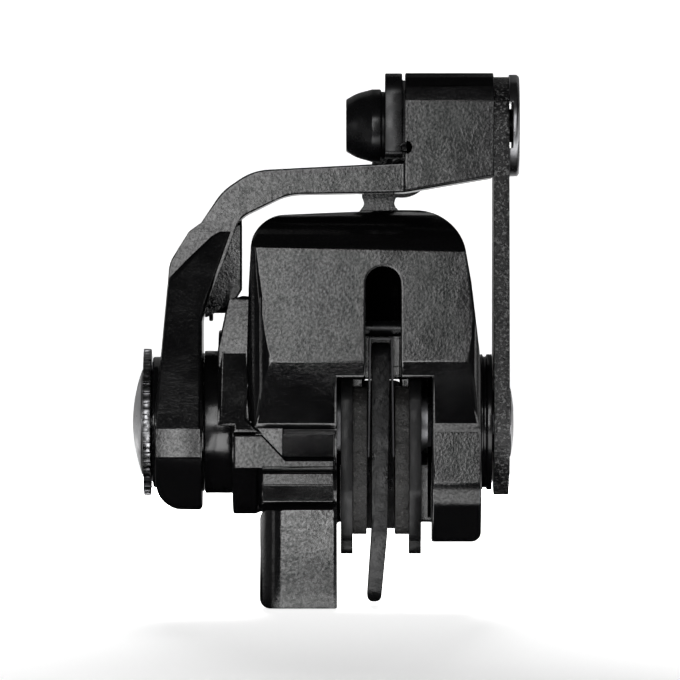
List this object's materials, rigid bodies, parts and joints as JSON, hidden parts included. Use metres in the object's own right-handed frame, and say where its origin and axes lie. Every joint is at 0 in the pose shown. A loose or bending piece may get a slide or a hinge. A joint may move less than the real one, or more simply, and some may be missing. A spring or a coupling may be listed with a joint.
{
  "type": "mechanical disc brake caliper",
  "caption": "Cable-pulled bicycle disc brake caliper for a flat mount: forged body, swinging yoke with ramp drives, sliding pads, adjusters and a transport spacer.",
  "frame": {"origin": "midway between the two mounting holes, on the mounting face", "axes": "+X across the rotor towards the inboard link plate, +Y along the rotor's edge towards the cable stop, +Z away from the mounting face"},
  "size_m": [0.0579, 0.0626, 0.0795],
  "materials": {
    "black_forging": "satin black powder coat over a forging",
    "black_machined": "black anodised, machined",
    "black_steel": "black oxide steel",
    "bright_steel": "bright machined steel",
    "hard_steel": "ground hardened steel",
    "bearing_bronze": "sintered bronze",
    "plate_paint": "painted steel backing plate",
    "friction_compound": "moulded friction compound",
    "spacer_plastic": "moulded black plastic",
    "spring_steel": "spring steel",
    "black_rubber": "rubber"
  },
  "bodies": {
    "caliper": {"caliper_body": "black_forging", "outboard_bush": "bearing_bronze", "spring_housing": "black_machined", "return_spring": "spring_steel", "outboard_thrust_washer": "hard_steel", "inboard_thrust_washer": "hard_steel", "inboard_end_cap": "black_machined", "pad_pin": "black_steel", "pad_spring": "spring_steel"},
    "yoke": {"actuating_arm": "black_forging", "arm_nut": "black_steel", "outboard_spindle": "hard_steel", "inboard_spindle": "hard_steel", "link_plate": "black_steel", "pivot_nut": "bright_steel", "clamp_bolt": "black_steel", "clamp_plate": "black_steel", "yoke_nut": "bright_steel"},
    "outboard_cage": {"outboard_ball_cage": "bearing_bronze"},
    "outboard_ball_set": {"outboard_balls": "hard_steel"},
    "inboard_cage": {"inboard_ball_cage": "bearing_bronze"},
    "inboard_ball_set": {"inboard_balls": "hard_steel"},
    "outboard_slider": {"outboard_pusher": "hard_steel"},
    "inboard_slider": {"inboard_pusher": "hard_steel"},
    "dial": {"adjuster_shaft": "hard_steel", "adjuster_dial": "black_machined", "dial_cap": "bright_steel"},
    "inboard_screw": {"inboard_adjuster": "hard_steel"},
    "outboard_pad": {"outboard_piston": "hard_steel", "outboard_pad_plate": "plate_paint", "outboard_pad_friction": "friction_compound"},
    "inboard_pad": {"inboard_piston": "hard_steel", "inboard_pad_plate": "plate_paint", "inboard_pad_friction": "friction_compound"},
    "spacer": {"pad_spacer": "spacer_plastic"},
    "barrel_ring": {"barrel_o_ring": "black_rubber"},
    "barrel": {"barrel_adjuster": "black_machined"}
  },
  "joints": [
    {"name": "arm_pivot", "type": "hinge", "parent": "caliper", "child": "yoke", "pos_m": [0, 0, 0.0273], "axis": [-1, 0, 0], "range_deg": [0, 22], "stiffness_Nm_per_rad": 0.15, "springref_deg": -57.3, "deforming": ["return_spring"]},
    {"name": "spacer_pull", "type": "slide", "parent": "caliper", "child": "spacer", "axis": [0, 0, -1], "range_m": [0, 0.034]},
    {"name": "outboard_cage_slide", "type": "slide", "parent": "caliper", "child": "outboard_cage", "axis": [1, 0, 0], "range_m": [0, 0.000215]},
    {"name": "outboard_ball_roll", "type": "hinge", "parent": "outboard_cage", "child": "outboard_ball_set", "pos_m": [0, 0, 0.0273], "axis": [-1, 0, 0], "range_deg": [0, 11.5]},
    {"name": "outboard_pusher_slide", "type": "slide", "parent": "caliper", "child": "outboard_slider", "axis": [1, 0, 0], "range_m": [0, 0.00043]},
    {"name": "dial_turn", "type": "hinge", "parent": "outboard_slider", "child": "dial", "pos_m": [0, 0, 0.0273], "axis": [1, 0, 0], "range_deg": [-226, 109]},
    {"name": "outboard_pad_feed", "type": "slide", "parent": "outboard_slider", "child": "outboard_pad", "axis": [1, 0, 0], "range_m": [-0.0005, 0.00024], "deforming": ["pad_spring"]},
    {"name": "inboard_cage_slide", "type": "slide", "parent": "caliper", "child": "inboard_cage", "axis": [-1, 0, 0], "range_m": [0, 0.000215]},
    {"name": "inboard_ball_roll", "type": "hinge", "parent": "inboard_cage", "child": "inboard_ball_set", "pos_m": [0, 0, 0.0273], "axis": [-1, 0, 0], "range_deg": [0, 11.5]},
    {"name": "inboard_pusher_slide", "type": "slide", "parent": "caliper", "child": "inboard_slider", "axis": [-1, 0, 0], "range_m": [0, 0.00043]},
    {"name": "inboard_screw_turn", "type": "hinge", "parent": "inboard_slider", "child": "inboard_screw", "pos_m": [0, 0, 0.0273], "axis": [-1, 0, 0], "range_deg": [-226, 109]},
    {"name": "inboard_pad_feed", "type": "slide", "parent": "inboard_slider", "child": "inboard_pad", "axis": [-1, 0, 0], "range_m": [-0.0005, 0.00024]},
    {"name": "barrel_slide", "type": "slide", "parent": "caliper", "child": "barrel_ring", "axis": [0, 1, 0], "range_m": [0, 0.0016]},
    {"name": "barrel_turn", "type": "hinge", "parent": "barrel_ring", "child": "barrel", "pos_m": [0.01545, 0.03, 0.066], "axis": [0, 1, 0], "range_deg": [0, 722]}
  ],
  "couplings": [
    {"joint": "outboard_cage_slide", "follows": "arm_pivot", "m_per_rad": 0.00054691},
    {"joint": "outboard_ball_roll", "follows": "arm_pivot", "ratio": 0.5},
    {"joint": "outboard_pusher_slide", "follows": "arm_pivot", "m_per_rad": 0.0010938},
    {"joint": "dial_turn", "follows": "outboard_pad_feed", "rad_per_m": 7854},
    {"joint": "inboard_cage_slide", "follows": "arm_pivot", "m_per_rad": 0.00054691},
    {"joint": "inboard_ball_roll", "follows": "arm_pivot", "ratio": 0.5},
    {"joint": "inboard_pusher_slide", "follows": "arm_pivot", "m_per_rad": 0.0010938},
    {"joint": "inboard_screw_turn", "follows": "inboard_pad_feed", "rad_per_m": 7854},
    {"joint": "barrel_turn", "follows": "barrel_slide", "rad_per_m": 7854}
  ]
}
